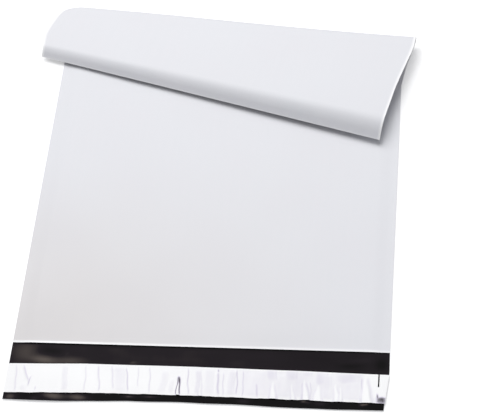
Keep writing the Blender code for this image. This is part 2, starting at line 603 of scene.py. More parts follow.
@dataclass
class FilmBag:
    """The bag: back wall with flap, front wall, side welds and closed end, in one piece of film."""

    roll: RollForm
    lay: FlapLay
    half_width: float = 0.184
    wall: float = 0.0003
    pocket_gap: float = 0.0004
    side_weld: float = 0.005
    weld_ramp: float = 0.014
    end_weld: float = 0.002
    closed_end: float = 0.001
    edge_steps: tuple[float, float] = (0.0008, 0.002)
    ramp_shares: tuple[float, ...] = (0.0, 0.12, 0.3, 0.5, 0.7, 0.88, 1.0)
    column_step: float = 0.0042
    row_step: float = 0.0045
    flap_rows: tuple[tuple[float, float, int], ...] = ((-0.057, -0.0482, 12), (-0.0463, 0.0, 25))
    mouth_rows: tuple[float, ...] = (0.0007, 0.0014, 0.0021, 0.0030, 0.0045, 0.0070, 0.0100)
    roll_steps: tuple[int, ...] = (4, 40, 12, 24, 3)
    weld_row_step: float = 0.0002
    lip_width: float = 0.0030
    lip_rise: float = 0.0007
    lip_right_share: float = 0.45
    panel_wave: float = 0.00022
    panel_wave_length: float = 0.075
    panel_fades: tuple[float, float] = (0.05, 0.02)
    # Widths of the painted highlights along the rolled film's side edges and along its closed end.
    rim_highlight_band: tuple[float, float] = (0.0018, 0.0012)
    end_highlight_band: tuple[float, float] = (0.0022, 0.0016)
    roll_fade: float = 0.02
    # How far from the mouth the painted shade near the mouth's left corner reaches.
    painted_shade_reach: float = 0.24
    pulls: tuple[CornerPull, ...] = (
        CornerPull(-0.184, 0.020, 0.0, (0.030, 0.020), (0.0, -0.0050, -0.0006)),
        CornerPull(-0.184, 0.150, 0.0, (0.030, 0.050), (0.0, -0.0025, 0.0)),
        CornerPull(-0.184, 0.070, 0.043, (0.043, 0.026), (-0.0048, 0.0, 0.0)),
        CornerPull(0.184, 0.090, 0.0, (0.040, 0.070), (0.0050, 0.0, 0.0)),
        CornerPull(0.184, 0.200, 0.0, (0.040, 0.060), (0.0, 0.0030, 0.0)),
    )
    # Painted sheen along the black strip between the liner and the mouth; it fades to deep black within about
    # 2 mm of the mouth, as painted shade under the lip.
    strip_sheen: float = 0.35
    strip_ends: tuple[float, float] = (-0.030, -0.0006)
    strip_fades: tuple[float, float] = (0.006, 0.0018)
    # Random tone over the black face.
    cloud_tone: float = 0.05
    cloud_length: float = 0.016
    # Patches of painted sheen on the black face, some lighter and some darker.
    haze: tuple[SheenPatch, ...] = tuple(SheenPatch(*row) for row in (
        (-0.169, -0.0090, 0.011, 0.0095, 0.30),
        (-0.150, -0.0172, 0.012, 0.0034, 0.62, -0.10),
        (-0.124, -0.0175, 0.016, 0.0036, 0.30),
        (-0.142, -0.0080, 0.013, 0.0038, -0.28, -0.12),
        (-0.128, -0.0100, 0.005, 0.0030, 0.14),
        (-0.060, -0.0180, 0.003, 0.0014, 0.25),
        (0.157, -0.0085, 0.010, 0.0022, 0.12, 0.12),
        (0.148, -0.0150, 0.012, 0.0030, -0.22),
        (0.177, -0.0120, 0.006, 0.0060, -0.35),
        (0.130, -0.0100, 0.060, 0.0140, -0.12),
        (-0.177, -0.0560, 0.006, 0.0036, 0.70),
        (-0.152, -0.0570, 0.004, 0.0020, 0.35),
        (-0.134, -0.0540, 0.011, 0.0036, 0.95, -0.10),
        (-0.110, -0.0545, 0.010, 0.0032, 0.85, -0.06),
        (-0.060, -0.0522, 0.005, 0.0012, 0.70),
        (-0.040, -0.0517, 0.007, 0.0010, 0.60),
        (0.050, -0.0530, 0.006, 0.0018, 0.40),
        (0.108, -0.0508, 0.0022, 0.0014, 2.00, -0.30),
        (0.122, -0.0525, 0.005, 0.0018, 0.40),
        (0.1635, -0.0512, 0.0030, 0.0016, 2.00, 0.30),
    ))

    def columns(self) -> Grid:
        """x of the columns, closer together at the side edges.

        Returns:
            The places, from left to right.
        """
        weld = self.half_width - self.side_weld
        parted = weld - self.weld_ramp
        edge = [self.half_width, self.half_width - self.edge_steps[0], weld + self.edge_steps[1]]
        edge += [weld - self.weld_ramp * share for share in self.ramp_shares]
        count = round(2 * parted / self.column_step)
        middle = np.linspace(-parted, parted, count + 1)[1:-1]
        return np.concatenate([[-x for x in edge], middle, edge[::-1]])

    def rows(self, x: Grid) -> tuple[Grid, int, int]:
        """Rows of the pattern, from the flap's end to the closed end.

        Args:
            x: x of the columns.

        Returns:
            s of each row and column, the mouth's row, and the row of the closed end's weld.
        """
        flap = [np.full_like(x, s) for run in self.flap_rows for s in np.linspace(*run)]
        near = [np.full_like(x, s) for s in self.mouth_rows]
        start = self.roll.start(x)
        count = round(float(start.mean()) / self.row_step)
        panel = [near[-1] + (start - near[-1]) * step / count for step in range(1, count + 1)]
        tangents = [math.tan(angle) for angle in self.roll.fold_lines(self.roll_steps)]
        rolled = [self.roll.pocket_length - (x + self.roll.apex_offset) * tangent for tangent in tangents]
        weld_s = self.roll.pocket_length - self.end_weld
        rolled = [
            np.minimum(row, weld_s - self.weld_row_step * (len(rolled) - i)) for i, row in enumerate(rolled)
        ]
        rows = flap + near + panel + rolled
        ends = [np.full_like(x, weld_s), np.full_like(x, self.roll.pocket_length)]
        return np.array(rows + ends), len(flap) - 1, len(rows)

    def sheen_and_tone_mask(self, x: Grid, s: Grid) -> Grid:
        """Painted sheen on the flap's inner face, in patches and along the strip by the mouth, with a little
        random tone.

        Args:
            x: Places across the bag.
            s: Places along the bag.

        Returns:
            How much painted sheen and tone each point gets, from 0 to 1.
        """
        total = sum(patch.mask(x, s) for patch in self.haze)
        far, near = self.strip_ends
        far_fade, near_fade = self.strip_fades
        # Painted sheen along the strip, with painted shade at the mouth where it fades out.
        strip = self.strip_sheen * smooth((s - far) / far_fade) * smooth((near - s) / near_fade)
        cloud = self.cloud_tone * waves(x, s * 2, self.cloud_length, 5.7)
        return np.clip(total + strip + cloud, 0.0, 1.0)

    def build(self) -> bpy.types.Object:
        """Builds the bag in the flat pattern.

        Returns:
            The flat piece.
        """
        columns = self.columns()
        rows, mouth, weld_row = self.rows(columns)
        x = np.broadcast_to(columns, rows.shape).copy()
        flap = rows < 0
        stray = self.lay.wobble(x) * smooth(-rows / self.lay.length) ** 3 - self.lay.reach(x, rows)
        s = rows + np.where(flap, stray, 0.0)
        x = np.where(flap, self.lay.carry(x, s), x)
        base = np.where(flap, self.lay.height(x, s), 0.0)
        weld = self.half_width - self.side_weld
        before_end = rows < self.roll.pocket_length - self.closed_end
        open_share = smooth((weld - np.abs(x)) / self.weld_ramp) * before_end
        gap = self.pocket_gap * np.where(np.arange(len(rows))[:, None] <= weld_row, open_share, 0.0)
        parted = gap > 1e-7
        to_roll, from_mouth = self.panel_fades
        on_panel = smooth((self.roll.start(x) - s) / to_roll) * smooth(s / from_mouth)
        wave = self.panel_wave * on_panel * open_share * (1 + waves(x, s, self.panel_wave_length, 1.7))
        lip = np.clip(1 - s / self.lip_width, 0.0, 1.0) * (s >= 0)
        leftward = (self.half_width - x) / (2 * self.half_width)
        rise = self.lip_rise * lip**2 * (self.lip_right_share + (1 - self.lip_right_share) * leftward)
        front = gap + (wave + rise * open_share) * parted
        # Painted highlight along the mouth's lip, stronger toward the left.
        lip_highlight_mask = smooth(lip / 0.55) * (0.55 + 0.45 * smooth((leftward - 0.45) / 0.5))
        # Painted shade on the front wall, darker toward the mouth and toward the left.
        painted_shade_mask = np.clip(1.3 * leftward - 0.1, 0.0, 1.0) * smooth((self.painted_shade_reach - s) / self.painted_shade_reach)
        in_roll = smooth((s - self.roll.start(x)) / self.roll_fade)
        # Painted highlights along the rolled film's side edges and along its closed end.
        rim_highlight_mask = smooth((np.abs(x) - self.half_width + self.rim_highlight_band[0]) / self.rim_highlight_band[1]) * in_roll
        end_highlight_mask = 0.5 * smooth((s - self.roll.pocket_length + self.end_highlight_band[0]) / self.end_highlight_band[1])

        # Masks: painted highlight on the lip and the rolled edges, painted sheen with a little random tone on
        # the black face, and painted shade near the mouth.
        mesh = PatternMesh(("lip", "weld", "haze", "dull"))
        edge_highlights = np.maximum(rim_highlight_mask, end_highlight_mask)
        under = mesh.add_points(x, s, base, weld=edge_highlights)
        inside = mesh.add_points(x, s, base + self.wall, weld=edge_highlights, haze=self.sheen_and_tone_mask(x, s) * flap)
        front_rows = slice(mouth, len(rows))
        outside = np.full(rows.shape, -1)
        outside[front_rows] = mesh.add_points(
            x[front_rows], s[front_rows], (base + 2 * self.wall + front)[front_rows],
            lip=lip_highlight_mask[front_rows], weld=edge_highlights[front_rows], dull=painted_shade_mask[front_rows],
        )
        ceiling = inside.copy()
        ceiling_points = mesh.add_points(x[front_rows], s[front_rows], (base + self.wall + front)[front_rows])
        ceiling[front_rows] = np.where(parted[front_rows], ceiling_points, inside[front_rows])

        mesh.add_sheet(under, upward=False)
        mesh.add_sheet(inside[: mouth + 1], upward=True, inner=True)
        held = parted[:-1, :-1] | parted[1:, :-1] | parted[:-1, 1:] | parted[1:, 1:]
        mesh.add_sheet(inside[mouth:], upward=True, inner=True, cells=held[mouth:])
        mesh.add_sheet(ceiling[mouth:], upward=False, inner=True, cells=held[mouth:])
        mesh.add_sheet(outside[mouth:], upward=True)
        for low, high in (
            (under[0], inside[0]),
            (ceiling[mouth], outside[mouth]),
            (inside[-1], under[-1]),
            (outside[-1], inside[-1]),
            (inside[:, 0], under[:, 0]),
            (under[:, -1], inside[:, -1]),
            (outside[mouth:, 0], inside[mouth:, 0]),
            (inside[mouth:, -1], outside[mouth:, -1]),
        ):
            mesh.add_strip(low, high)
        return mesh.make("rolled_bag")

    @staticmethod
    def places(piece: bpy.types.Object) -> Grid:
        """Places of all points of a piece.

        Args:
            piece: The piece.

        Returns:
            A row of x, y and z for each point.
        """
        places = np.empty(3 * len(piece.data.vertices), dtype=np.float32)
        piece.data.vertices.foreach_get("co", places)
        return places.reshape(-1, 3).astype(float)

    def dress(self, finishes: Finishes) -> bpy.types.Object:
        """Builds the bag, rolls its closed end and gives it its place in the frame.

        Args:
            finishes: The mailer's materials.

        Returns:
            The finished piece.
        """
        piece = self.build()
        flat = self.places(piece)
        self.roll.carry(piece, finishes.white_film, finishes.black_film)
        past_crest = flat[:, 1] - self.roll.crest(flat[:, 0])
        moved = self.places(piece) + sum(pull.moves(flat[:, 0], past_crest) for pull in self.pulls)
        piece.data.vertices.foreach_set("co", moved.astype(np.float32).ravel())
        piece.data.update()
        settle(piece)
        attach(piece, "root")
        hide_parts("mailer_film")
        return piece


class WrinkleKind(Enum):
    """Kinds of wrinkle in the release liner."""

    LINE = "line"
    BAND = "band"
    PEAK = "peak"
    BUCKLE = "buckle"


LINE, BAND, PEAK, BUCKLE = WrinkleKind

# All wrinkles lean: how far at the middle of the bag, and the change for each metre to the right.
LEAN_AT_MIDDLE = 0.0030
LEAN_CHANGE = -0.0085


@dataclass(frozen=True)
class Wrinkle:
    """One wrinkle that runs across the liner.

    near and far are shares of the liner's width, from the mouth's side.
    """

    kind: WrinkleKind
    x: float
    width: float
    shade: float
    height: float = 0.0002
    lean: float = 0.0
    near: float = 0.0
    far: float = 1.0

    def offset(self, x: Grid, t: Grid) -> Grid:
        """How far each point lies from the wrinkle's line, which leans and wavers.

        Args:
            x: Places across the bag.
            t: Share of the liner's width, 0 at the mouth's side and 1 at the flap's edge.

        Returns:
            A distance for each point, in metres.
        """
        lean = self.lean + LEAN_AT_MIDDLE + LEAN_CHANGE * self.x
        waver = 0.0005 * np.sin(4.3 * t + 900 * self.x) + 0.0003 * np.sin(11.0 * t + 1700 * self.x)
        return x - self.x - lean * (t - 0.5) - waver

    def window(self, t: Grid) -> Grid:
        """How much of a line or a band is there, since it fades at its two ends."""
        fade = 0.16 + 0.5 * max(0.0, 0.9 - self.far) * (self.kind is BAND)
        return smooth((t - self.near) / 0.16 + 0.02) * smooth((self.far - t) / fade + 0.02)

    def line(self, off: Grid, t: Grid) -> tuple[Grid, Grid]:
        """A narrow ridge, darker on its right side.

        Args:
            off: How far each point lies from the wrinkle's line.
            t: Share of the liner's width.

        Returns:
            Height and shade.
        """
        ridge = np.exp(-((off / self.width) ** 2)) * self.window(t)
        side = np.exp(-((off / self.width - 0.5) ** 2) * 1.6) * self.window(t)
        return self.height * ridge, self.shade * side

    def band(self, x: Grid, off: Grid, t: Grid) -> tuple[Grid, Grid]:
        """A low plateau with a darker rim at its right.

        Args:
            x: Places across the bag.
            off: How far each point lies from the wrinkle's line.
            t: Share of the liner's width.

        Returns:
            Height and shade.
        """
        uneven = 0.75 + 0.35 * waves(x, t * 0.02, 0.009, 3.3)
        plateau = smooth((1 - np.abs(off) / self.width) / 0.8) * self.window(t)
        rim = np.exp(-(((off / self.width - 0.7) / 0.16) ** 2)) * self.window(t)
        return self.height * plateau, self.shade * uneven * (0.55 * plateau + 0.3 * rim)

    def opening(self, off: Grid, t: Grid) -> tuple[Grid, Grid, Grid]:
        """A peak or a buckle, which opens toward the flap's edge.

        Args:
            off: How far each point lies from the wrinkle's line.
            t: Share of the liner's width.

        Returns:
            Height, shade, and how far inside the opening each point is.
        """
        down = np.clip((t - self.near) / max(self.far - self.near, 1e-6), 0.0, 1.0)
        reach = self.width * (0.18 + 0.82 * down**0.75)
        inside = smooth((reach - np.abs(off)) / (0.45 * self.width)) * smooth((t - self.near) / 0.08)
        if self.kind is PEAK:
            rim = np.exp(-(((np.abs(off) - reach) / (0.22 * self.width + 0.0004)) ** 2))
            dark = 0.7 * self.shade * rim * smooth((t - self.near) / 0.25)
            return self.height * inside * down, dark, inside
        legs = np.exp(-(((np.abs(off) - reach * 0.92) / 0.00042) ** 2)) * smooth((t - self.near) / 0.05)
        dark = self.shade * legs * smooth((1.02 - t) / 0.1)
        return self.height * inside * (0.3 + 0.7 * down), dark, inside

    def marks(self, x: Grid, t: Grid) -> tuple[Grid, Grid, Grid]:
        """What the wrinkle does at each point of the liner.

        Args:
            x: Places across the bag.
            t: Share of the liner's width.

        Returns:
            Height, shade, and how much of other shade it clears.
        """
        off = self.offset(x, t)
        if self.kind is LINE:
            return *self.line(off, t), np.zeros_like(x)
        if self.kind is BAND:
            return *self.band(x, off, t), np.zeros_like(x)
        return self.opening(off, t)


@dataclass
class ReleaseLiner:
    """The paper strip over the adhesive, with its wrinkles and its slit near the right end."""

    lay: FlapLay
    start: float = 0.0203
    width: float = 0.0295
    thickness: float = 0.00018
    height: float = 0.0012
    left: float = -0.1840
    side_overhang: float = 0.0004
    slit: float = 0.1750
    slit_width: float = 0.0013
    slit_length: float = 0.014
    column_step: float = 0.00055
    row_count: int = 26
    edge_wobble: float = 0.0004
    far_edge_waves: tuple[float, float] = (0.017, 0.006)
    near_edge_wave: float = 0.045
    base_shade: float = 0.09
    shade_drift: float = 0.05
    shaded_span: tuple[float, float] = (0.0, 0.168)
    shade_fades: tuple[float, float] = (0.07, 0.01)
    wrinkles: tuple[Wrinkle, ...] = (
        Wrinkle(LINE, -0.1746, 0.0009, 0.18, lean=-0.0010),
        Wrinkle(LINE, -0.1626, 0.0010, 0.30, 0.0003, lean=0.0087, far=0.68),
        Wrinkle(LINE, -0.1595, 0.0008, 0.30, 0.0003, lean=-0.0087, near=0.38, far=0.82),
        Wrinkle(BAND, -0.1651, 0.0039, 0.14, lean=-0.0029, near=0.66, far=0.98),
        Wrinkle(LINE, -0.1544, 0.0006, 0.48, near=0.74, far=0.96),
        Wrinkle(BAND, -0.1257, 0.0037, 0.22, lean=0.0004, far=0.97),
        Wrinkle(LINE, -0.1055, 0.0008, 0.18, lean=-0.0023),
        Wrinkle(LINE, -0.0922, 0.0011, 0.24, lean=0.0006),
        Wrinkle(LINE, -0.0786, 0.0012, 0.18, far=0.90),
        Wrinkle(BAND, -0.0715, 0.0073, 0.20, far=0.97),
        Wrinkle(LINE, -0.0641, 0.0008, 0.34, 0.0003, lean=0.0008, near=0.04, far=0.95),
        Wrinkle(LINE, -0.0529, 0.0006, 0.18, lean=-0.0006, far=0.80),
        Wrinkle(LINE, -0.0422, 0.0008, 0.20, lean=-0.0008),
        Wrinkle(BAND, -0.0281, 0.0044, 0.16, lean=-0.0048, near=0.12, far=0.95),
        Wrinkle(BAND, -0.0208, 0.0029, 0.14, near=0.40, far=0.95),
        Wrinkle(BUCKLE, -0.0138, 0.0021, 1.00, 0.0016, near=0.34),
        Wrinkle(LINE, -0.0138, 0.0012, 0.95, 0.0006, near=0.30, far=0.66),
        Wrinkle(LINE, -0.0045, 0.0008, 0.26, 0.0003, lean=0.0004),
        Wrinkle(BAND, 0.0053, 0.0039, 0.28, 0.0003, lean=-0.0029, near=0.05, far=0.97),
        Wrinkle(PEAK, 0.0078, 0.0019, 0.18, 0.0003, near=0.40),
        Wrinkle(BAND, 0.0164, 0.0062, 0.17, far=0.96),
        Wrinkle(LINE, 0.0241, 0.0014, 0.30, 0.0003, lean=-0.0010, near=0.10, far=0.98),
        Wrinkle(LINE, 0.0249, 0.0009, 1.60, near=0.02, far=0.19),
        Wrinkle(LINE, 0.0289, 0.0008, 0.22, lean=0.0010, near=0.10),
        Wrinkle(BAND, 0.0369, 0.0054, 0.28, 0.0003, lean=-0.0024, far=0.96),
        Wrinkle(LINE, 0.0420, 0.0008, 0.34, 0.0003, far=0.95),
        Wrinkle(LINE, 0.0477, 0.0008, 0.28, lean=-0.0015),
        Wrinkle(BAND, 0.0545, 0.0068, 0.17, near=0.10, far=0.97),
        Wrinkle(LINE, 0.0601, 0.0015, 0.28, lean=0.0015, near=0.42),
        Wrinkle(BAND, 0.0659, 0.0053, 0.13, far=0.97),
        Wrinkle(BAND, 0.0755, 0.0072, 0.42, near=-0.05, far=0.56),
        Wrinkle(PEAK, 0.0762, 0.0039, 0.24, 0.0005, lean=0.0006, near=0.36),
        Wrinkle(BAND, 0.0862, 0.0077, 0.20, near=0.10, far=0.97),
        Wrinkle(BAND, 0.0943, 0.0084, 0.40, near=-0.05, far=0.54),
        Wrinkle(PEAK, 0.0946, 0.0025, 0.20, 0.0003, lean=0.0004, near=0.42),
        Wrinkle(BAND, 0.1029, 0.0029, 0.20, near=0.10, far=0.97),
        Wrinkle(BAND, 0.1076, 0.0080, 0.30, near=-0.05, far=0.42),
        Wrinkle(PEAK, 0.1071, 0.0041, 0.30, 0.0009, lean=0.0014, near=0.26),
        Wrinkle(LINE, 0.1112, 0.0009, 0.22, lean=0.0010, near=0.30),
        Wrinkle(BAND, 0.1225, 0.0085, 0.40, near=-0.05, far=0.62),
        Wrinkle(PEAK, 0.1190, 0.0048, 0.20, 0.0004, near=0.42),
        Wrinkle(BAND, 0.1274, 0.0062, 0.34, near=0.02, far=0.97),
        Wrinkle(PEAK, 0.1360, 0.0035, 0.22, 0.0004, near=0.36),
        Wrinkle(PEAK, 0.1400, 0.0021, 0.20, 0.0003, lean=0.0006, near=0.44),
        Wrinkle(BAND, 0.1462, 0.0180, 0.40, near=-0.05, far=0.56),
        Wrinkle(BAND, 0.1506, 0.0092, 0.22, near=0.30, far=0.97),
        Wrinkle(LINE, 0.1591, 0.0009, 0.30, lean=-0.0006, near=0.08),
        Wrinkle(PEAK, 0.1637, 0.0060, 0.22, 0.0009, near=0.02),
        Wrinkle(LINE, 0.1728, 0.0007, 1.00, near=0.62, far=0.92),
    )
    crumple: tuple[float, float, float, float] = (0.1794, 0.895, 0.0056, 0.105)
    crumple_grain: float = 0.0021
    crumple_rise: float = 0.0008

    def surface(self, x: Grid, t: Grid) -> tuple[Grid, Grid]:
        """Height over the flat strip, and shade, at each point.

        Args:
            x: Places across the bag.
            t: Share of the liner's width, from the mouth's side.

        Returns:
            The heights and the shades.
        """
        height = np.zeros_like(x)
        left, right = self.shaded_span
        left_fade, right_fade = self.shade_fades
        across = smooth((x - left) / left_fade) * smooth((right - x) / right_fade)
        within = smooth((0.97 - t) / 0.1) * smooth((t - 0.03) / 0.06)
        shade = (self.base_shade + self.shade_drift * waves(x, t * 0.012, 0.006, 2.2)) * across * within
        for wrinkle in self.wrinkles:
            rise, dark, clear = wrinkle.marks(x, t)
            height += rise
            shade = np.maximum(shade * (1 - 0.9 * clear), dark)
        # Painted shade over the crumpled corner by the slit, with a little rise.
        x_middle, t_middle, x_radius, t_radius = self.crumple
        patch = np.exp(-(((x - x_middle) / x_radius) ** 4) - ((t - t_middle) / t_radius) ** 4)
        rough = waves(x, t * 0.03, self.crumple_grain, 9.3)
        height += patch * self.crumple_rise * np.abs(rough)
        shade = np.maximum(shade, patch * np.clip(0.92 + 0.3 * rough, 0.0, 0.98))
        return height, np.clip(shade, 0.0, 1.0)

    def build(self) -> bpy.types.Object:
        """Builds the strip in the flat pattern.

        Returns:
            The flat piece.
        """
        right = self.lay.half_width + self.side_overhang
        count = round((self.slit - self.left) / self.column_step)
        slit_left = self.slit - self.slit_width / 2
        slit_right = self.slit + self.slit_width / 2
        ending = np.linspace(slit_right, right, round((right - slit_right) / self.column_step))
        columns = np.concatenate([np.linspace(self.left, slit_left, count), ending])
        share = np.linspace(1, 0, self.row_count)
        x, t = np.meshgrid(columns, share)
        s = -self.start - self.width * t
        level = np.zeros_like(x)
        long_wave, short_wave = self.far_edge_waves
        far_edge = waves(x, level, long_wave, 6.1) + 0.5 * waves(x, level, short_wave, 4.4)
        near_edge = waves(x, level, self.near_edge_wave, 7.9)
        s = s + self.edge_wobble * (far_edge * t**4 + 0.5 * near_edge * (1 - t) ** 4) - self.lay.reach(x, s)
        height, shade = self.surface(x, t)
        x = self.lay.carry(x, s)
        bottom = self.height + self.lay.height(x, s) + height
        cells = np.ones((x.shape[0] - 1, x.shape[1] - 1), dtype=bool)
        gap_column = count - 1
        middle_s = (s[:-1, gap_column] + s[1:, gap_column]) / 2
        cells[:, gap_column] = middle_s < -self.start - self.slit_length
        mesh = PatternMesh(("shade",))
        mesh.add_slab(x, s, bottom, bottom + self.thickness, cells, shade=shade)
        return mesh.make("liner_strip")

    def dress(self, finishes: Finishes) -> bpy.types.Object:
        """Builds the strip and gives it its place in the frame.

        Args:
            finishes: The mailer's materials.

        Returns:
            The finished piece.
        """
        piece = self.build()
        piece.data.materials.append(finishes.liner_paper)
        settle(piece, sharp_angle=50.0)
        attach(piece, "root")
        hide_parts("release_liner")
        return piece


@dataclass
class AdhesiveLine:
    """The line of hot melt adhesive on the flap, laid in shallow beads."""

    lay: FlapLay
    start: float = 0.02505
    width: float = 0.020
    side_clearance: float = 0.003
    height: float = 0.0006
    thickness: float = 0.0003
    beads: int = 8
    bead_rows: int = 8
    column_counts: tuple[int, int] = (119, 4)
    bead_rise: float = 0.00012
    bead_change: float = 0.2
    bead_wave_length: float = 0.01
    slit: float = 0.1750
    slit_gap: float = 0.0029

    def build(self) -> bpy.types.Object:
        """Builds the line in the flat pattern.

        Returns:
            The flat piece.
        """
        half = self.lay.half_width - self.side_clearance
        left_end = self.slit - self.slit_gap / 2
        right_start = self.slit + self.slit_gap / 2
        left_count, right_count = self.column_counts
        main_run = np.linspace(-half, left_end, left_count)
        columns = np.concatenate([main_run, np.linspace(right_start, half, right_count)])
        x, t = np.meshgrid(columns, np.linspace(1, 0, self.bead_rows * self.beads + 1))
        s = -self.start - self.width * t
        s = s - self.lay.reach(x, s)
        ridge = 0.5 - 0.5 * np.cos(2 * math.pi * self.beads * t)
        x = self.lay.carry(x, s)
        bottom = self.height + self.lay.height(x, s)
        change = 1 + self.bead_change * (waves(x, s, self.bead_wave_length, 5.0) - 1)
        top = bottom + self.thickness - self.bead_rise * (1 - ridge) * change
        mesh = PatternMesh(())
        cells = np.ones((x.shape[0] - 1, x.shape[1] - 1), dtype=bool)
        cells[:, left_count - 1] = False
        mesh.add_slab(x, s, bottom, top, cells)
        return mesh.make("adhesive_beads")

    def dress(self, finishes: Finishes) -> bpy.types.Object:
        """Builds the line and gives it its place in the frame.

        Args:
            finishes: The mailer's materials.

        Returns:
            The finished piece.
        """
        piece = self.build()
        piece.data.materials.append(finishes.adhesive)
        settle(piece, sharp_angle=60.0)
        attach(piece, "root")
        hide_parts("adhesive_line")
        return piece


# The grain's streaks run along the web, and wide clouds lie under them.
STREAK_STRETCH = (1.0, 0.06, 1.0)
CLOUD_SCALE = 14.0
CLOUD_SHARE = 0.7


def grain_group() -> bpy.types.NodeTree:
    """Makes the node group for blown film and coated paper.

    Returns:
        The group: faint streaks along the web, and a fine uneven skin.
    """
    tree = bpy.data.node_groups.new("web_grain", "ShaderNodeTree")
    kit = NodeKit(tree)
    kit.declare("INPUT", "Vector", "Vector")
    kit.declare("INPUT", "Float", "Skin Scale", "Streak Scale", "Streak Share")
    kit.declare("OUTPUT", "Float", "Height", "Tone")
    given = kit.add("NodeGroupInput").outputs
    place = given["Vector"]
    along = kit.add("ShaderNodeVectorMath", {0: place, 1: STREAK_STRETCH}, operation="MULTIPLY").outputs[0]
    skin = kit.add("ShaderNodeTexNoise", {"Vector": place, "Scale": given["Skin Scale"], "Detail": 3.0})
    streak = kit.add("ShaderNodeTexNoise", {"Vector": along, "Scale": given["Streak Scale"], "Detail": 4.0})
    cloud = kit.add("ShaderNodeTexNoise", {"Vector": place, "Scale": CLOUD_SCALE, "Detail": 2.0})
    streaked = kit.math("MULTIPLY", streak.outputs[0], given["Streak Share"])
    height = kit.math("ADD", skin.outputs[0], streaked)
    clouded = kit.math("MULTIPLY", cloud.outputs[0], CLOUD_SHARE)
    tone = kit.math("ADD", clouded, kit.math("MULTIPLY", streak.outputs[0], 1 - CLOUD_SHARE))
    kit.add("NodeGroupOutput", {"Height": height, "Tone": tone})
    return tree


@dataclass(frozen=True)
class Finish:
    """What every finish of the mailer shares: its grain and its gloss."""

    name: str
    skin_scale: float
    streak_scale: float
    streak_share: float
    bump: float
    roughness: tuple[float, float]
    specular: float
    bump_depth: float = 0.0004
    tones: tuple[float, float] = (0.3, 0.7)

    def make(self, grain: bpy.types.NodeTree) -> bpy.types.Material:
        """Makes the material, with its grain, gloss and colour.

        Args:
            grain: The shared grain group.

        Returns:
            The material.
        """
        result = bpy.data.materials.new(self.name)
        result.use_nodes = True
        kit = NodeKit(result.node_tree)
        shader = result.node_tree.nodes["Principled BSDF"]
        place = kit.add("ShaderNodeUVMap", uv_map=PATTERN_MAP).outputs[0]
        web = kit.add("ShaderNodeGroup", {
            "Vector": place,
            "Skin Scale": self.skin_scale,
            "Streak Scale": self.streak_scale,
            "Streak Share": self.streak_share,
        }, node_tree=grain).outputs
        relief = {"Strength": self.bump, "Distance": self.bump_depth, "Height": web["Height"]}
        kit.feed(shader.inputs["Normal"], kit.add("ShaderNodeBump", relief).outputs[0])
        kit.feed(shader.inputs["Roughness"], kit.ranged(web["Tone"], *self.tones, *self.roughness))
        kit.feed(shader.inputs["Specular IOR Level"], self.specular)
        kit.feed(shader.inputs["Base Color"], self.colour(kit, web["Tone"]))
        return result

    @staticmethod
    def ramp(kit: NodeKit, share: object, stops: Sequence[tuple[float, Colour]]) -> Socket:
        """Makes a colour ramp.

        Args:
            kit: The material's node kit.
            share: Place on the ramp, from 0 to 1.
            stops: Places and colours.

        Returns:
            The ramp's colour.
        """
        node = kit.add("ShaderNodeValToRGB", {0: share})
        points = node.color_ramp.elements
        while len(points) < len(stops):
            points.new(0.5)
        for point, (place, colour) in zip(points, stops):
            point.position = place
            point.color = (*colour, 1.0)
        return node.outputs[0]

    @staticmethod
    def mask(kit: NodeKit, name: str) -> Socket:
        """Values of one of the piece's masks."""
        return kit.add("ShaderNodeAttribute", attribute_name=name).outputs["Fac"]

    @staticmethod
    def uneven(kit: NodeKit, tone: Socket, strength: float) -> Socket:
        """The grain's tone as a small change up or down."""
        return kit.math("MULTIPLY", kit.math("SUBTRACT", tone, 0.5), strength)


@dataclass(frozen=True)
class WhiteFilm(Finish):
    """Satin white film, with painted highlights along the mouth's lip and the rolled film's edges, and
    painted shade toward the mouth's left corner.
    """

    light: Colour = linear(225, 225, 230)
    deep: Colour = linear(222, 223, 228)
    # Painted shade colour for the front wall near the mouth's left corner.
    dull: Colour = linear(218, 215, 216)
    # Painted highlight colour for the lip and the rolled film's edges.
    painted_highlight: Colour = linear(252, 252, 253)
    colour_tones: tuple[float, float] = (0.35, 0.65)

    def colour(self, kit: NodeKit, tone: Socket) -> Socket:
        """Colour of the film, with its painted highlights and painted shade.

        Args:
            kit: The material's node kit.
            tone: The grain's tone.

        Returns:
            The colour.
        """
        share = kit.ranged(tone, *self.colour_tones, 0.0, 1.0)
        film = kit.mix(share, (*self.deep, 1.0), (*self.light, 1.0))
        # Painted shade toward the mouth's left corner.
        film = kit.mix(self.mask(kit, "dull"), film, (*self.dull, 1.0))
        # Painted highlight: white along the mouth's lip and along the rolled film's side and end edges.
        edge = kit.math("MAXIMUM", self.mask(kit, "lip"), self.mask(kit, "weld"))
        return kit.mix(edge, film, (*self.painted_highlight, 1.0))


@dataclass(frozen=True)
class BlackFilm(Finish):
    """The film's black inner face, with painted sheen in patches and along the strip by the mouth."""

    deep: Colour = linear(8, 7, 8)
    # Faint painted sheen of the strip by the mouth, and the milky painted sheen of the patches.
    faint_sheen: Colour = linear(31, 26, 31)
    milky_sheen: Colour = linear(96, 88, 83)
    unevenness: float = 0.15

    def colour(self, kit: NodeKit, tone: Socket) -> Socket:
        """Colour of the film, by its painted sheen and random tone."""
        share = kit.math("ADD", self.mask(kit, "haze"), self.uneven(kit, tone, self.unevenness))
        return self.ramp(kit, share, ((0.0, self.deep), (0.35, self.faint_sheen), (1.0, self.milky_sheen)))


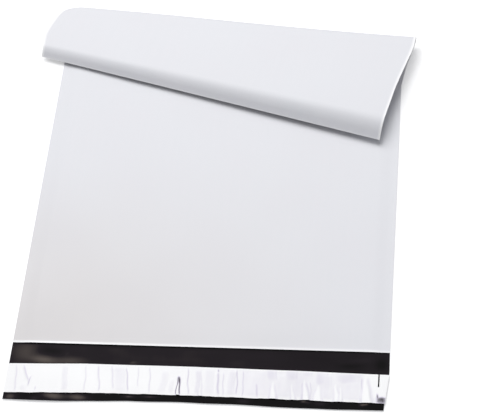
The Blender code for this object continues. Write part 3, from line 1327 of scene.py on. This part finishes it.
@dataclass(frozen=True)
class LinerPaper(Finish):
    """White coated paper, with painted shade from lavender grey to dark grey where it is wrinkled, creased or
    crumpled.
    """

    white: Colour = linear(254, 254, 255)
    lavender: Colour = linear(221, 216, 232)
    grey: Colour = linear(160, 155, 168)
    dark: Colour = linear(34, 30, 36)
    unevenness: float = 0.10

    def colour(self, kit: NodeKit, tone: Socket) -> Socket:
        """Colour of the paper, by its shade.

        Args:
            kit: The material's node kit.
            tone: The grain's tone.

        Returns:
            The colour.
        """
        share = kit.math("ADD", self.mask(kit, "shade"), self.uneven(kit, tone, self.unevenness))
        stops = ((0.0, self.white), (0.30, self.lavender), (0.60, self.grey), (1.0, self.dark))
        return self.ramp(kit, share, stops)


@dataclass(frozen=True)
class HotMelt(Finish):
    """Tacky hot melt adhesive, slightly yellow."""

    clear: Colour = linear(214, 204, 172)
    thick: Colour = linear(190, 174, 128)

    def colour(self, kit: NodeKit, tone: Socket) -> Socket:
        """Colour of the adhesive."""
        return kit.mix(tone, (*self.clear, 1.0), (*self.thick, 1.0))


class Finishes:
    """All materials of the mailer."""

    def __init__(self) -> None:
        """Makes each finish once."""
        grain = grain_group()
        self.white_film = WhiteFilm("white_film", 900.0, 160.0, 0.6, 0.06, (0.34, 0.44), 0.45).make(grain)
        self.black_film = BlackFilm("black_film", 700.0, 120.0, 0.8, 0.10, (0.30, 0.44), 0.03).make(grain)
        self.liner_paper = LinerPaper("liner_paper", 1500.0, 220.0, 0.3, 0.10, (0.34, 0.46), 0.40).make(grain)
        self.adhesive = HotMelt("hot_melt_adhesive", 500.0, 90.0, 1.2, 0.20, (0.16, 0.30), 0.50).make(grain)


@dataclass(frozen=True)
class Lamp:
    """One soft area lamp."""

    name: str
    place: tuple[float, float, float]
    aim: tuple[float, float, float]
    size: tuple[float, float]
    power: float
    colour: Colour = (1.0, 1.0, 1.0)

    def hang(self) -> None:
        """Adds the lamp to the scene."""
        light = bpy.data.lights.new(self.name, "AREA")
        light.shape = "RECTANGLE"
        light.size, light.size_y = self.size
        light.energy = self.power
        light.color = self.colour
        lamp = add_object(self.name, light)
        lamp.location = self.place
        lamp.rotation_euler = (Vector(self.aim) - Vector(self.place)).to_track_quat("-Z", "Y").to_euler()


@dataclass
class Studio:
    """Pale floor, white sky, one soft lamp and the camera."""

    target: tuple[float, float, float] = (0.02929, 0.15182, 0.0)
    distance: float = 1.3583
    azimuth: float = 20.280
    elevation: float = 60.0
    roll: float = -17.165
    lens: float = 100.68
    sensor: float = 36.0
    sky: float = 0.36
    sky_colour: Colour = (0.97, 0.98, 1.0)
    floor_half: float = 6.0
    floor_glow: float = 0.30
    key: Lamp = Lamp("key", (-0.75, 2.40, 3.50), (0.0, 0.20, 0.0), (3.4, 3.4), 146.0)
    floor_drop: float = 0.0004
    floor_roughness: float = 0.9
    floor_specular: float = 0.1
    floor_grain: float = 6.0
    floor_tones: tuple[Colour, Colour] = ((0.90, 0.90, 0.91), (0.93, 0.93, 0.93))

    def shown_white(self, kit: NodeKit) -> Socket:
        """1 for rays that see the background, by eye or in a reflection.

        Args:
            kit: The world's node kit.

        Returns:
            1 or 0.
        """
        rays = kit.add("ShaderNodeLightPath").outputs
        reflected = kit.math("MAXIMUM", rays["Is Glossy Ray"], rays["Is Transmission Ray"])
        return kit.math("MAXIMUM", rays["Is Camera Ray"], reflected)

    def light_world(self) -> None:
        """Sets the soft sky, which shows as white."""
        world = bpy.data.worlds.new("sky")
        world.use_nodes = True
        bpy.context.scene.world = world
        kit = NodeKit(world.node_tree)
        world.node_tree.nodes.clear()
        seen = self.shown_white(kit)
        colour = kit.mix(seen, (*self.sky_colour, 1.0), (1.0, 1.0, 1.0, 1.0))
        strength = kit.ranged(seen, 0.0, 1.0, self.sky, 1.0)
        back = kit.add("ShaderNodeBackground", {"Color": colour, "Strength": strength})
        kit.add("ShaderNodeOutputWorld", {0: back.outputs[0]})

    def lay_floor(self) -> None:
        """Lays the pale floor under the mailer."""
        half = self.floor_half
        mesh = bpy.data.meshes.new("floor")
        corners = [(-half, -half, 0), (half, -half, 0), (half, half, 0), (-half, half, 0)]
        mesh.from_pydata(corners, [], [(0, 1, 2, 3)])
        floor = add_object("floor", mesh)
        floor.location.z = -self.floor_drop
        paint = bpy.data.materials.new("floor")
        paint.use_nodes = True
        kit = NodeKit(paint.node_tree)
        shader = paint.node_tree.nodes["Principled BSDF"]
        place = kit.add("ShaderNodeTexCoord").outputs["Object"]
        grain = kit.add("ShaderNodeTexNoise", {"Vector": place, "Scale": self.floor_grain})
        first, second = ((*tone, 1.0) for tone in self.floor_tones)
        kit.feed(shader.inputs["Base Color"], kit.mix(grain.outputs[0], first, second))
        kit.feed(shader.inputs["Roughness"], self.floor_roughness)
        kit.feed(shader.inputs["Specular IOR Level"], self.floor_specular)
        rays = kit.add("ShaderNodeLightPath").outputs
        strength = kit.math("MULTIPLY", rays["Is Camera Ray"], self.floor_glow)
        glow = kit.add("ShaderNodeEmission", {"Strength": strength})
        both = kit.add("ShaderNodeAddShader", {0: shader.outputs[0], 1: glow.outputs[0]})
        kit.feed(paint.node_tree.nodes["Material Output"].inputs[0], both.outputs[0])
        mesh.materials.append(paint)

    def place_camera(self) -> None:
        """Places the camera at the photograph's view."""
        azimuth, elevation, roll = (math.radians(a) for a in (self.azimuth, self.elevation, self.roll))
        back = Vector((
            math.sin(azimuth) * math.cos(elevation),
            -math.cos(azimuth) * math.cos(elevation),
            math.sin(elevation),
        ))
        right = (-back).cross(Vector((0, 0, 1))).normalized()
        up = right.cross(-back)
        turned_right = right * math.cos(roll) + up * math.sin(roll)
        turned_up = up * math.cos(roll) - right * math.sin(roll)
        data = bpy.data.cameras.new("camera")
        data.sensor_width = self.sensor
        data.lens = self.lens
        camera = add_object("camera", data)
        axes = Matrix((turned_right, turned_up, back)).transposed().to_4x4()
        camera.matrix_world = Matrix.Translation(Vector(self.target) + back * self.distance) @ axes
        bpy.context.scene.camera = camera

    def build(self) -> None:
        """Sets up the whole studio."""
        bpy.context.scene.view_settings.view_transform = "Standard"
        self.light_world()
        self.lay_floor()
        self.key.hang()
        self.place_camera()


def main() -> None:
    """Builds the mailer and its studio."""
    logging.basicConfig(level=logging.INFO, format="%(message)s")
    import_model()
    Studio().build()
    finishes = Finishes()
    lay = FlapLay()
    for sub_assembly in (FilmBag(RollForm(), lay), AdhesiveLine(lay), ReleaseLiner(lay)):
        piece = sub_assembly.dress(finishes)
        LOG.info("%s: %d faces", piece.name, len(piece.data.polygons))


if __name__ == "__main__":
    main()
